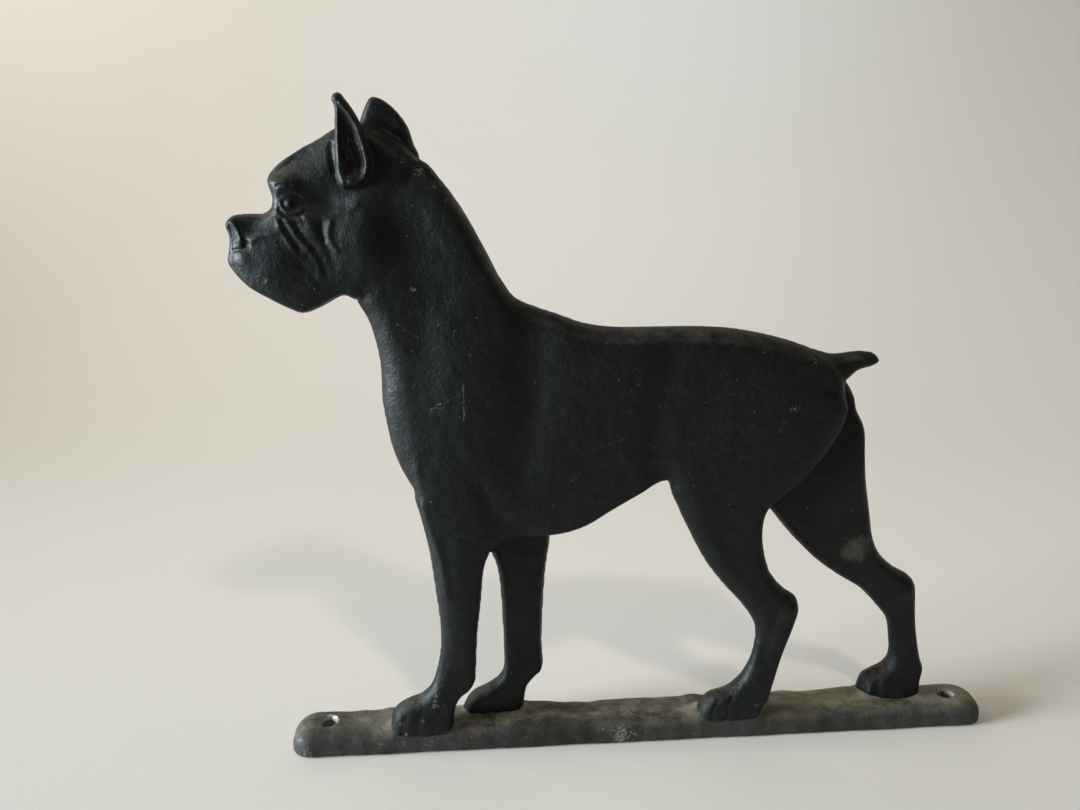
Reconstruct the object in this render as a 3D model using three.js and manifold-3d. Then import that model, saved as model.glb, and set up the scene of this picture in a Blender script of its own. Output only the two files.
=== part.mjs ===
// Cast hound on a plank: one figure casting, one base plank casting and four foot screws.
// Units are millimetres. X runs along the plank with the head towards -X, +Y is the dog's
// right flank, +Z is up, and the origin is the middle of the plank's underside.
import * as THREE from "three";
import { mergeVertices } from "three/addons/utils/BufferGeometryUtils.js";
import Module from "manifold-3d";

const wasm = await Module();
wasm.setup();

// ---- driving dimensions ----
const PLANK_LENGTH = 300;
const PLANK_DEPTH = 22;
const PLANK_HEIGHT = 10;
const PLANK_FRONT_CORNER_R = 8;
const PLANK_REAR_CORNER_R = 13;
const PLANK_SHOULDER = 2.2;
const PLANK_SHOULDER_STEPS = 3;

const END_HOLE_SPACING = 271;
const END_HOLE_D = 5.8;
const END_HOLE_SINK_D = 8.4;
const END_HOLE_SINK_DEPTH = 1.6;

const JOINT_GAP = 0.3;

const TRUNK_HALF = 10;
const TRUNK_RIM = 4;
const HEAD_HALF = 8;
const HEAD_RIM = 2.6;
const TAIL_HALF = 5.5;
const TAIL_RIM = 1.2;
const LEG_RIM = 2;
const LEG_OUTER = 10.4;
const LEG_INNER = 0.4;
const EAR_OUTER = 8.5;
const EAR_INNER = 1.5;
const EAR_RIM = 0.8;
const RIM_STEPS = 2;
const SPLINE_STEPS = 2;

const SCREW_SHANK_D = 4;
const SCREW_HEAD_D = 7.6;
const SCREW_HEAD_H = 2.2;
const SCREW_TIP_Z = 19;
const SCREW_TIP_CHAMFER = 0.6;
const SCREW_FACE_Z = 0.3;
const SLOT_WIDTH = 1;
const SLOT_DEPTH = 0.9;
const ROUND_SEGMENTS = 24;

// Where each paw is screwed down: node name, along the plank, across the plank.
const FOOT_SCREWS = [
  ["foot_screw_front_near", -94, -5.4],
  ["foot_screw_front_far", -62, 5.4],
  ["foot_screw_hind_near", 41, -5.4],
  ["foot_screw_hind_far", 112, 5.4],
];

const CUT_OVERRUN = 1;

// ---- side outlines, X and Z, clockwise as seen from -Y ----

// The body from the shoulder to the rump, with the neck's root.
const TRUNK_OUTLINE = [
  [-104, 140], [-105.5, 155], [-105.3, 168], [-107.8, 180.5], [-111, 188], [-113, 200],
  [-108, 216], [-97, 232], [-88.3, 239.7], [-80, 231.5], [-72, 220], [-64.5, 206],
  [-59.5, 196.5], [-54.5, 190], [-48, 187], [-39, 183.5], [-29, 179.7], [-18, 178.1],
  [0, 178], [16, 177.8], [28, 177], [41, 174.6], [52, 171.4], [62, 167.6], [70, 164],
  [75, 153], [75.5, 143], [72, 132], [64, 121], [55, 112], [46.5, 104.5], [30, 106],
  [14, 112], [3.5, 116.8], [-6, 111.5], [-17, 104.8], [-27, 98.6], [-36, 95.8],
  [-46, 94.8], [-58, 94.4], [-65, 89.5], [-76, 92], [-86, 101], [-94, 114], [-101, 128],
];

// The docked tail, from inside the rump out to its tip.
const TAIL_OUTLINE = [
  [60, 166], [70, 166.1], [80, 167.1], [85.5, 166.3], [87.4, 163.6], [84.5, 161.4],
  [79, 160.2], [72, 158], [60, 158],
];

// The head without its ears: muzzle, stop, forehead and jaw.
const HEAD_OUTLINE = [
  [-112, 191.4], [-116.5, 192.1], [-120, 190.8], [-125.5, 187.6], [-131.6, 185.8],
  [-137.6, 188], [-144, 191.6], [-150, 195.3], [-155, 200.6], [-157.2, 204.6],
  [-156.2, 209], [-155.7, 213.5], [-156.4, 217.8], [-154.8, 220.2], [-149.5, 221.1],
  [-143.4, 221.3], [-140.4, 223.6], [-139.8, 227.5], [-141, 233.2], [-137.9, 237.4],
  [-130.3, 242.5], [-122.6, 246.6], [-116, 250.2], [-108, 251], [-98, 247.5],
  [-89, 240], [-84, 228], [-88, 210], [-100, 196],
];

const NEAR_EAR_OUTLINE = [
  [-118.5, 233], [-117.3, 243], [-116.3, 252], [-116.4, 259], [-114.6, 261.2],
  [-112.4, 259.4], [-108.6, 254], [-105.6, 246.5], [-104.6, 239], [-106, 233],
  [-110, 230.5], [-115, 229.5],
];

const FAR_EAR_OUTLINE = [
  [-106.5, 240], [-107.4, 250], [-106.4, 256.5], [-104.4, 260.4], [-101.5, 260.2],
  [-96.5, 256.8], [-92, 250.6], [-90, 244.5], [-87.4, 238], [-93, 233], [-101, 234],
];

const NEAR_FORELEG_OUTLINE = [
  [-107.8, 8], [-107.7, 14.5], [-105, 20], [-98, 23.2], [-92.5, 27], [-89, 34.5],
  [-87, 43.5], [-86.1, 53], [-87.4, 71], [-89.6, 91], [-92.6, 105.5], [-95, 114],
  [-94.5, 128], [-88, 138], [-76, 136], [-64, 112], [-65.8, 90], [-68.4, 81],
  [-70, 66], [-71.7, 52], [-72.5, 38], [-73.6, 28.2], [-78, 24], [-81, 18.8],
  [-82, 13], [-82.6, 8],
];

const FAR_FORELEG_OUTLINE = [
  [-77.8, 8], [-77, 13.5], [-74, 17.4], [-66.5, 21.3], [-61.8, 26], [-60.1, 33],
  [-60.3, 45], [-60.9, 60], [-62.2, 75], [-65.5, 88], [-66, 108], [-52, 122],
  [-38, 108], [-41, 90], [-42.8, 76], [-44, 57], [-44.5, 42], [-44.4, 28],
  [-48.6, 23.6], [-50.9, 19.4], [-52.4, 13], [-53.2, 8],
];

const NEAR_HINDLEG_OUTLINE = [
  [23.2, 8], [23.3, 13.5], [27, 18.2], [35, 21], [40, 25.4], [43.6, 33], [45.4, 43],
  [44.4, 53], [38.5, 61.4], [30, 71], [22.3, 81.5], [16.3, 92], [8.5, 112], [10, 135],
  [28, 154], [54, 155], [72, 145], [71, 131], [62, 119], [52.5, 110], [45.8, 103.5],
  [44.4, 94], [46.8, 82], [51, 72.4], [59, 65.4], [62.4, 59.6], [61, 50.5], [57, 36],
  [54, 22], [52.4, 15.6], [50, 8],
];

const FAR_HINDLEG_OUTLINE = [
  [97.8, 8], [97.9, 13.4], [101.4, 19], [107.6, 21.6], [110.3, 26.4], [109.3, 36],
  [107, 45.6], [101.8, 52.4], [93.4, 61.2], [83, 68], [72.8, 75.6], [61.6, 86.6],
  [51.5, 98.5], [44, 112], [50, 145], [70, 156], [78.8, 151], [82.4, 143.4],
  [86.5, 135], [89, 119.5], [92.7, 98.5], [95.4, 86.5], [100.3, 76.8], [107, 70.8],
  [114, 66.4], [117.5, 61], [118.5, 52], [120.3, 42], [123.2, 29], [125.4, 21],
  [124.8, 14.5], [124.4, 8],
];

// ---- materials ----
const paintedAluminium = new THREE.MeshStandardMaterial({
  color: 0x2b2d2e,
  roughness: 0.45,
  metalness: 0.3,
});
const zincedSteel = new THREE.MeshStandardMaterial({
  color: 0xb4b6b8,
  roughness: 0.3,
  metalness: 0.9,
});

// ---- helpers ----

function solidFrom(geometry) {
  const bare = geometry.index ? geometry.toNonIndexed() : geometry.clone();
  bare.deleteAttribute("normal");
  bare.deleteAttribute("uv");
  const merged = mergeVertices(bare, 1e-3);
  return new wasm.Manifold(
    new wasm.Mesh({
      numProp: 3,
      vertProperties: merged.attributes.position.array,
      triVerts: new Uint32Array(merged.index.array),
    }),
  );
}

function meshFrom(solid, name, material) {
  const data = solid.getMesh();
  const geometry = new THREE.BufferGeometry();
  geometry.setAttribute("position", new THREE.BufferAttribute(data.vertProperties, 3));
  geometry.setIndex(new THREE.BufferAttribute(data.triVerts, 1));
  geometry.computeVertexNormals();
  const mesh = new THREE.Mesh(geometry, material);
  mesh.name = name;
  return mesh;
}

// A smooth closed shape through the outline's points.
function smoothShape(outline) {
  const knots = outline.map(([x, z]) => new THREE.Vector3(x, z, 0));
  const curve = new THREE.CatmullRomCurve3(knots, true, "centripetal");
  const steps = outline.length * SPLINE_STEPS;
  const points = [];
  for (let i = 0; i < steps; i += 1) {
    const p = curve.getPoint(i / steps);
    points.push(new THREE.Vector2(p.x, p.y));
  }
  return new THREE.Shape(points);
}

// A slab with a rounded rim, standing in the XZ plane between two depths.
function standingSlab(outline, yFront, yBack, rim) {
  const geometry = new THREE.ExtrudeGeometry(smoothShape(outline), {
    depth: yBack - yFront - 2 * rim,
    bevelEnabled: true,
    bevelThickness: rim,
    bevelSize: rim,
    bevelOffset: -rim,
    bevelSegments: RIM_STEPS,
  });
  geometry.rotateX(Math.PI / 2);
  geometry.translate(0, yBack - rim, 0);
  return solidFrom(geometry);
}

// A round bar about an upright axis, from a profile of radius and height.
function turned(profile, x, y) {
  const points = profile.map(([r, z]) => new THREE.Vector2(r, z));
  const geometry = new THREE.LatheGeometry(points, ROUND_SEGMENTS);
  geometry.rotateX(Math.PI / 2);
  geometry.translate(x, y, 0);
  return solidFrom(geometry);
}

function uprightHole(diameter, zLow, zHigh, x, y) {
  const r = diameter / 2;
  return turned([[0, zLow], [r, zLow], [r, zHigh], [0, zHigh]], x, y);
}

// ---- the plank ----

function plankPlan() {
  const halfLength = PLANK_LENGTH / 2;
  const halfDepth = PLANK_DEPTH / 2;
  const front = PLANK_FRONT_CORNER_R;
  const rear = PLANK_REAR_CORNER_R;
  const plan = new THREE.Shape();
  plan.moveTo(-halfLength + front, -halfDepth);
  plan.lineTo(halfLength - front, -halfDepth);
  plan.absarc(halfLength - front, -halfDepth + front, front, -Math.PI / 2, 0, false);
  plan.quadraticCurveTo(halfLength, halfDepth, halfLength - rear, halfDepth);
  plan.lineTo(-halfLength + rear, halfDepth);
  plan.quadraticCurveTo(-halfLength, halfDepth, -halfLength, -halfDepth + front);
  plan.absarc(-halfLength + front, -halfDepth + front, front, Math.PI, 1.5 * Math.PI, false);
  return plan;
}

function plankBlank() {
  const lower = new THREE.ExtrudeGeometry(plankPlan(), {
    depth: PLANK_HEIGHT,
    bevelEnabled: true,
    bevelThickness: PLANK_SHOULDER,
    bevelSize: PLANK_SHOULDER,
    bevelOffset: -PLANK_SHOULDER,
    bevelSegments: PLANK_SHOULDER_STEPS,
    curveSegments: 10,
  });
  lower.translate(0, 0, -PLANK_SHOULDER);
  const keep = new THREE.BoxGeometry(2 * PLANK_LENGTH, 2 * PLANK_DEPTH, PLANK_HEIGHT);
  keep.translate(0, 0, PLANK_HEIGHT / 2);
  return solidFrom(lower).intersect(solidFrom(keep));
}

// A countersunk through hole, sunk from the top.
function endHole(x) {
  const bore = END_HOLE_D / 2;
  const sink = END_HOLE_SINK_D / 2;
  const sinkZ = PLANK_HEIGHT - END_HOLE_SINK_DEPTH;
  return turned(
    [
      [0, -CUT_OVERRUN],
      [bore, -CUT_OVERRUN],
      [bore, sinkZ],
      [sink, PLANK_HEIGHT],
      [sink, PLANK_HEIGHT + CUT_OVERRUN],
      [0, PLANK_HEIGHT + CUT_OVERRUN],
    ],
    x,
    0,
  );
}

// The clearance cut for one foot screw, sunk from below.
function screwSeat(x, y) {
  const bore = SCREW_SHANK_D / 2 + JOINT_GAP;
  const mouth = SCREW_HEAD_D / 2 + JOINT_GAP;
  return turned(
    [
      [0, -CUT_OVERRUN],
      [mouth, -CUT_OVERRUN],
      [mouth, SCREW_FACE_Z],
      [bore, SCREW_FACE_Z + SCREW_HEAD_H + JOINT_GAP],
      [bore, PLANK_HEIGHT + CUT_OVERRUN],
      [0, PLANK_HEIGHT + CUT_OVERRUN],
    ],
    x,
    y,
  );
}

function basePlank() {
  const holes = [-END_HOLE_SPACING / 2, END_HOLE_SPACING / 2].map(endHole);
  const seats = FOOT_SCREWS.map(([, x, y]) => screwSeat(x, y));
  const cutters = wasm.Manifold.union([...holes, ...seats]);
  return meshFrom(plankBlank().subtract(cutters), "base_plank", paintedAluminium);
}

// ---- the figure ----

function trunk() {
  return standingSlab(TRUNK_OUTLINE, -TRUNK_HALF, TRUNK_HALF, TRUNK_RIM);
}

function head() {
  return standingSlab(HEAD_OUTLINE, -HEAD_HALF, HEAD_HALF, HEAD_RIM);
}

function tail() {
  return standingSlab(TAIL_OUTLINE, -TAIL_HALF, TAIL_HALF, TAIL_RIM);
}

function ears() {
  return [
    standingSlab(NEAR_EAR_OUTLINE, -EAR_OUTER, -EAR_INNER, EAR_RIM),
    standingSlab(FAR_EAR_OUTLINE, EAR_INNER, EAR_OUTER, EAR_RIM),
  ];
}

function legs() {
  const near = [NEAR_FORELEG_OUTLINE, NEAR_HINDLEG_OUTLINE];
  const far = [FAR_FORELEG_OUTLINE, FAR_HINDLEG_OUTLINE];
  return [
    ...near.map((outline) => standingSlab(outline, -LEG_OUTER, LEG_INNER, LEG_RIM)),
    ...far.map((outline) => standingSlab(outline, -LEG_INNER, LEG_OUTER, LEG_RIM)),
  ];
}

// Everything under the soles: the paws are cast flat a joint gap above the plank.
function underSoles() {
  const soleZ = PLANK_HEIGHT + JOINT_GAP;
  const block = new THREE.BoxGeometry(2 * PLANK_LENGTH, 4 * PLANK_DEPTH, 2 * soleZ);
  return solidFrom(block);
}

function blindBore([, x, y]) {
  const boreD = SCREW_SHANK_D + 2 * JOINT_GAP;
  return uprightHole(boreD, PLANK_HEIGHT - CUT_OVERRUN, SCREW_TIP_Z + JOINT_GAP, x, y);
}

function dogFigure() {
  const body = wasm.Manifold.union([trunk(), head(), tail(), ...ears(), ...legs()]);
  const cutters = wasm.Manifold.union([underSoles(), ...FOOT_SCREWS.map(blindBore)]);
  return meshFrom(body.subtract(cutters), "dog_figure", paintedAluminium);
}

// ---- the screws ----

function footScrew([name, x, y]) {
  const shank = SCREW_SHANK_D / 2;
  const headR = SCREW_HEAD_D / 2;
  const neckZ = SCREW_FACE_Z + SCREW_HEAD_H;
  const bar = turned(
    [
      [0, SCREW_FACE_Z],
      [headR, SCREW_FACE_Z],
      [shank, neckZ],
      [shank, SCREW_TIP_Z - SCREW_TIP_CHAMFER],
      [shank - SCREW_TIP_CHAMFER, SCREW_TIP_Z],
      [0, SCREW_TIP_Z],
    ],
    x,
    y,
  );
  const slot = new THREE.BoxGeometry(2 * SCREW_HEAD_D, SLOT_WIDTH, 2 * SLOT_DEPTH);
  slot.translate(x, y, SCREW_FACE_Z);
  return meshFrom(bar.subtract(solidFrom(slot)), name, zincedSteel);
}

// ---- the assembly ----

const paperweight = new THREE.Group();
paperweight.name = "hound_on_plank";
paperweight.add(dogFigure());
paperweight.add(basePlank());
for (const screw of FOOT_SCREWS) {
  paperweight.add(footScrew(screw));
}

export default paperweight;
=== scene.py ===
# Cast hound on a plank, painted satin black and worn. Everything is in metres in the part's own frame.
import math

import bmesh
import bpy
import numpy as np
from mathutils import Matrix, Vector


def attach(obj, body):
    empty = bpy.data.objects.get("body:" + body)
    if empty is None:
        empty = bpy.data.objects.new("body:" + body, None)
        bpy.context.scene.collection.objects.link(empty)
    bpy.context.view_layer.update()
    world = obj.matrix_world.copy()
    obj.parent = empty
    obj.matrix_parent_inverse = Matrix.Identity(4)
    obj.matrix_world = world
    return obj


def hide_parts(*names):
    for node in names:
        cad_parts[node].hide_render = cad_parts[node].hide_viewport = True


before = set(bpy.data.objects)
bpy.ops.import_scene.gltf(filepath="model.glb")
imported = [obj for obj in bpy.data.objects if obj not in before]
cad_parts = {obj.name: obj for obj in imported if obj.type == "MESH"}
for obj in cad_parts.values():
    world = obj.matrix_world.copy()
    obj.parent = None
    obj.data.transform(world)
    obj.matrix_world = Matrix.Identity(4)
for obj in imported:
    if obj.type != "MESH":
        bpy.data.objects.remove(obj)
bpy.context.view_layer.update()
mm = 0.001

print("frame loaded:", len(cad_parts), "nodes")

# ---------------------------------------------------------------- camera and studio

studio = {
    "cameraAt": (-70.1, -328.1, 248.6),   # mm
    "pitch": 17.0,                        # degrees down
    "yaw": 4.32,                          # degrees towards +X
    "lens": 29.67,
    "sensor": 36.0,
    "paperColour": (0.80, 0.765, 0.705),
    "paperTurn": 0.34,                    # metres behind the plank where the sheet starts to rise
    "paperReach": 0.55,                   # how far back the rise goes
    "roomGlow": 0.05,
    "roomTint": (0.95, 0.97, 1.0),
    "pastPaper": (0.58, 0.56, 0.52),
}
# Each lamp: name, place, aim, size, watts, colour, and the spread of its beam in degrees.
lamps = [
    ("windowLeft", (-1.5, -0.22, 0.36), (-0.12, -0.02, 0.25), (0.7, 0.45), 6.4, (0.85, 0.94, 1.0), 45.0),
    ("backLeft", (-0.9, 0.45, 0.9), (0.0, 1.0, 0.35), (0.8, 0.8), 4.0, (1.0, 0.94, 0.86), 110.0),
    ("backGlow", (0.35, 0.25, 1.15), (0.02, 1.0, 0.40), (0.6, 0.4), 0.85, (0.62, 0.81, 1.0), 70.0),
    ("lampFront", (0.24, -0.88, 1.36), (-0.05, 0.0, 0.1), (0.13, 0.13), 4.3, (1.0, 0.90, 0.76), 180.0),
    ("windowRight", (1.5, 0.1, 0.8), (0.0, 0.05, 0.1), (0.8, 0.8), 1.8, (1.0, 0.86, 0.66), 180.0),
    ("ceilingGlow", (0.1, -0.1, 1.7), (0.05, 0.0, 0.0), (1.5, 1.0), 0.9, (1.0, 0.975, 0.93), 180.0),
]


def makeCamera():
    data = bpy.data.cameras.new("deskCamera")
    data.lens = studio["lens"]
    data.sensor_width = studio["sensor"]
    data.clip_start, data.clip_end = 0.01, 20.0
    camera = bpy.data.objects.new("deskCamera", data)
    camera.location = [v * mm for v in studio["cameraAt"]]
    camera.rotation_euler = (math.radians(90.0 - studio["pitch"]), 0.0, -math.radians(studio["yaw"]))
    bpy.context.collection.objects.link(camera)
    bpy.context.scene.camera = camera


makeCamera()


def newMaterial(name):
    material = bpy.data.materials.new(name)
    material.use_nodes = True
    tree = material.node_tree
    return material, tree, tree.nodes["Principled BSDF"]


def meshObject(name, bm, smooth=True):
    bmesh.ops.recalc_face_normals(bm, faces=bm.faces[:])
    mesh = bpy.data.meshes.new(name)
    bm.to_mesh(mesh)
    bm.free()
    for polygon in mesh.polygons:
        polygon.use_smooth = smooth
    made = bpy.data.objects.new(name, mesh)
    bpy.context.collection.objects.link(made)
    return made


def makeSweep():
    # one pale sheet: flat under the plank, then a slow rise behind it
    bm = bmesh.new()
    bmesh.ops.create_grid(bm, x_segments=8, y_segments=60, size=0.5)
    turn, reach = studio["paperTurn"], studio["paperReach"]
    for vertex in bm.verts:
        along = (vertex.co.y + 0.5) * 2.4 - 1.0        # front to back, metres
        vertex.co.x *= 6.0
        rise = max(0.0, along - turn)
        vertex.co.y = along if along < turn else turn + reach * math.tanh(rise / reach)
        vertex.co.z = -0.0005 + 0.9 * rise * rise
    sweep = meshObject("paperSweep", bm)
    material, tree, shader = newMaterial("palePaper")
    shader.inputs["Base Color"].default_value = (*studio["paperColour"], 1.0)
    shader.inputs["Roughness"].default_value = 0.75
    shader.inputs["Specular IOR Level"].default_value = 0.25
    sweep.data.materials.append(material)


def areaLight(name, at, target, size, watts, colour, spread):
    data = bpy.data.lights.new(name, "AREA")
    data.shape = "RECTANGLE"
    data.size, data.size_y = size
    data.energy = watts
    data.spread = math.radians(spread)
    data.color = colour
    lamp = bpy.data.objects.new(name, data)
    lamp.location = at
    lamp.rotation_euler = (Vector(target) - Vector(at)).to_track_quat("-Z", "Y").to_euler()
    bpy.context.collection.objects.link(lamp)


def makeLights():
    for lamp in lamps:
        areaLight(*lamp)
    world = bpy.data.worlds.new("softRoom")
    world.use_nodes = True
    # dim for the object, so the dark paint keeps its contrast, and pale where it is seen past the paper
    tree = world.node_tree
    dim = tree.nodes["Background"]
    dim.inputs[0].default_value = (*studio["roomTint"], 1.0)
    dim.inputs[1].default_value = studio["roomGlow"]
    pale = tree.nodes.new("ShaderNodeBackground")
    pale.inputs[0].default_value = (*studio["pastPaper"], 1.0)
    path = tree.nodes.new("ShaderNodeLightPath")
    both = tree.nodes.new("ShaderNodeMixShader")
    tree.links.new(path.outputs["Is Camera Ray"], both.inputs[0])
    tree.links.new(dim.outputs[0], both.inputs[1])
    tree.links.new(pale.outputs[0], both.inputs[2])
    tree.links.new(both.outputs[0], tree.nodes["World Output"].inputs[0])
    bpy.context.scene.world = world


makeSweep()
makeLights()
bpy.context.scene.view_settings.view_transform = "Standard"
print("studio made")

# ---------------------------------------------------------------- the hound: outlines
# Every row of an outline is X, Z and how far the edge there rounds in, all in mm.
# A part's faces are the Y of its near and far side.

hound = {
    "voxel": 1.42,          # mm, base mesh
    "fillet": 1.4,          # mm, where parts flow together
    "cell": 0.5,            # mm, pitch of the thickness maps
    "fineCell": 0.25,       # the same, for the head and ears
    "roundness": 2.1,       # 2 is a circle, more is squarer
    "dome": 0.2,            # share of the thickness that keeps rising towards the middle
    "domeReach": 3.4,       # how many rim widths that takes
    "margin": 6.0,          # mm of thickness map round an outline
    "reliefFade": 2.2,      # mm in from the outline where the relief reaches its full height
    "earFillet": 0.5,
    "stride": 0.25,         # mm, for measuring the slope
    "longestStep": 1.2,     # mm a point may move at once
    "trunk": {
        "faces": (-10.0, 10.0),
        "outline": [
            (-103.8, 140, 13), (-105.3, 152, 13), (-105.2, 164, 12), (-106.5, 174, 10),
            (-109, 183, 9), (-112.5, 190, 9), (-114, 200, 13), (-112, 216, 14), (-100, 234, 12),
            (-88.3, 239.7, 9), (-80, 231.6, 6), (-72, 220, 5), (-64.6, 206, 5), (-59.6, 196.5, 5),
            (-54.7, 190, 5), (-48, 186.8, 6), (-39, 183.6, 6), (-29, 180, 6), (-18, 178.2, 6),
            (0, 178, 6), (16, 177.8, 6), (28, 177, 6), (41, 174.6, 6), (52, 171.6, 6),
            (62, 167.8, 5), (68, 165, 5), (73, 158, 6), (74.5, 152, 7), (75, 143, 9),
            (71, 131, 9), (64, 121, 8), (55, 112, 6), (46.8, 105, 4), (36, 106, 4), (22, 111, 4),
            (12, 114, 4), (3.5, 116.8, 3), (-6, 111.6, 3), (-17, 105, 3), (-27, 98.8, 3),
            (-36, 95.8, 3), (-46, 94.8, 3), (-58, 94.4, 3), (-65, 90, 3), (-76, 92, 4),
            (-87, 103, 6), (-94.6, 114.5, 9), (-99.3, 123.5, 11), (-102.4, 132.5, 12),
        ],
    },
    "head": {
        "faces": (-9.0, 9.0),
        "outline": [
            (-112, 190.4, 3), (-116.5, 192.1, 2.2), (-120, 190.8, 2.2), (-125.5, 187.8, 2.2),
            (-131.6, 185.9, 2.2), (-137.6, 188.2, 2.2), (-144, 191.7, 2.2), (-150, 195.4, 2.5),
            (-155, 200.6, 3.5), (-157.2, 204.6, 4.5), (-156.3, 209, 3.5), (-155.7, 213.5, 3),
            (-156.5, 217.8, 2.5), (-154.8, 220.2, 2.5), (-149.5, 221.1, 4), (-143.4, 221.3, 4),
            (-140.4, 223.6, 3.5), (-139.7, 227, 3.5), (-141, 233.2, 5), (-137.9, 237.4, 8),
            (-130.3, 242.5, 14), (-122.6, 246.6, 15), (-116, 250.2, 11), (-108, 251.5, 6),
            (-98, 247.5, 6), (-89, 240, 8), (-82, 226, 14), (-86, 208, 14), (-98, 194, 10),
        ],
    },
    "tail": {
        "faces": (-5.5, 5.5),
        "outline": [
            (58, 168, 5), (69.5, 166.2, 4), (80, 167.1, 3.5), (85.4, 166.2, 3.5), (87.4, 163.6, 3.5),
            (84.6, 161.4, 3.5), (79, 159.7, 3.5), (75.6, 156.6, 3.5), (70, 152, 4), (58, 156, 5),
        ],
    },
    "nearForeleg": {
        "faces": (-10.6, 0.8),
        "outline": [
            (-107.9, 6.5, 4), (-108, 13, 5), (-106.3, 18.2, 5), (-101, 21.8, 5), (-95.3, 24.2, 5),
            (-91, 28.8, 5), (-88.4, 36, 6), (-86.6, 45, 6), (-86.1, 54, 6), (-87.5, 71, 7),
            (-89.7, 91, 7), (-92.5, 105, 8), (-94.5, 115, 9), (-92, 130, 10), (-80, 138, 10),
            (-68, 126, 8), (-65, 106, 5), (-65.4, 91, 3), (-68.3, 82, 3), (-70, 66, 4),
            (-71.6, 52, 4.5), (-72.4, 38, 4.5), (-73.3, 29, 4), (-75.3, 26, 3.5), (-78.6, 23.2, 3.5),
            (-81, 18.8, 3.5), (-82.3, 13, 3.5), (-83.4, 6.5, 3.5),
        ],
    },
    "farForeleg": {
        "faces": (-0.8, 10.6),
        "outline": [
            (-78, 6.5, 4), (-77.2, 13, 4), (-74, 17.2, 4), (-67.5, 20.7, 4), (-62.8, 24.4, 4),
            (-60.4, 29.5, 4.5), (-60.2, 40, 5), (-60.6, 52, 5), (-61.4, 68, 5), (-62.6, 77, 5),
            (-65.5, 86, 5), (-68, 98, 6), (-62, 116, 8), (-48, 118, 8), (-40.5, 104, 5),
            (-41, 90, 4), (-42.8, 76, 4), (-44, 57, 4), (-44.5, 42, 4), (-44.3, 28.4, 3.5),
            (-47.2, 25.2, 3.5), (-50.4, 20.8, 3.5), (-51.8, 15, 3.5), (-53.6, 6.5, 3.5),
        ],
    },
    "nearHindleg": {
        "faces": (-10.6, 0.8),
        "outline": [
            (23, 6.5, 4), (23.4, 13.5, 5), (27, 18, 5), (34.6, 20.7, 5), (39.4, 24.8, 5),
            (43, 31.5, 6), (45.3, 41, 6), (44.7, 51.5, 6), (39, 60.8, 6), (30.3, 70.8, 7),
            (22.3, 81.4, 8), (16.2, 92.4, 8), (10.5, 104, 8), (6, 115, 8), (6, 132, 10),
            (20, 152, 10), (48, 160, 9), (70, 154, 8), (75, 146, 9), (73.2, 137, 9), (67, 125.5, 8),
            (58, 114.5, 6), (49.5, 107.6, 4), (45.9, 104, 3), (44.6, 96, 4), (46, 85, 5),
            (49.6, 74.8, 5), (55.6, 67.8, 4), (61, 63.6, 3.5), (62.5, 59, 3.5), (61.3, 51.5, 4),
            (57.4, 37, 4), (54.4, 23, 4), (52.8, 16, 3.5), (50.5, 12, 3.5), (48.6, 6.5, 3.5),
        ],
    },
    "farHindleg": {
        "faces": (-0.8, 10.6),
        "outline": [
            (97.8, 6.5, 4), (97.7, 12.5, 5), (99.4, 17.2, 5), (103.6, 20, 5), (108, 22.2, 4),
            (110.2, 26.5, 5), (109.3, 36, 5), (106.9, 45.8, 5), (101.9, 52.3, 5), (93.6, 61, 5),
            (83.2, 67.8, 5), (73, 75.4, 6), (61.7, 86.6, 6), (52.6, 97.5, 5), (45, 108, 5),
            (46, 140, 6), (60, 156, 6), (72, 157, 5), (76.6, 154.6, 4), (80.8, 148.4, 4),
            (82.3, 143, 3.5), (86.3, 135.2, 3.5), (87.9, 124, 3.5), (89.4, 114, 4), (92.8, 98.4, 4),
            (95.8, 85.5, 4), (100.2, 76.8, 4), (106, 71.3, 4), (113, 67.1, 4), (116.6, 63.5, 4),
            (117.9, 57.5, 4), (118.8, 50, 4), (121, 37.6, 4), (124, 26, 4), (125.6, 21.6, 3.5),
            (125, 15, 3.5), (124.4, 6.5, 3.5),
        ],
    },
    "nearEar": {
        "faces": (-11.0, -3.4),
        "outline": [
            (-115.9, 233, 2), (-116.2, 243, 1.6), (-115.7, 251, 1.4), (-115.4, 257.2, 1.4),
            (-116.2, 259.6, 1.6), (-115.4, 261.3, 1.8), (-113.4, 261.4, 1.8), (-112, 259.7, 1.6),
            (-110, 257, 1.4), (-107.3, 252, 1.4), (-105.7, 246.5, 1.6), (-104.2, 242, 1.6),
            (-103.8, 238.5, 2), (-104.8, 234.4, 2), (-107.6, 231.4, 2), (-111, 230.2, 2),
            (-114.2, 230, 2),
        ],
    },
    "farEar": {
        "faces": (1.0, 9.6),
        "outline": [
            (-108.5, 240, 3), (-109.5, 249, 3), (-107.4, 255.6, 2), (-106, 258.6, 2),
            (-104.4, 260.5, 2.2), (-101.8, 260.3, 2.2), (-98.6, 258.5, 2.4), (-94.8, 254.8, 2.4),
            (-91.8, 250.2, 2.4), (-90.2, 245, 2.6), (-88.4, 240.4, 3), (-90, 234, 4), (-100, 232, 4),
        ],
    },
}
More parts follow.
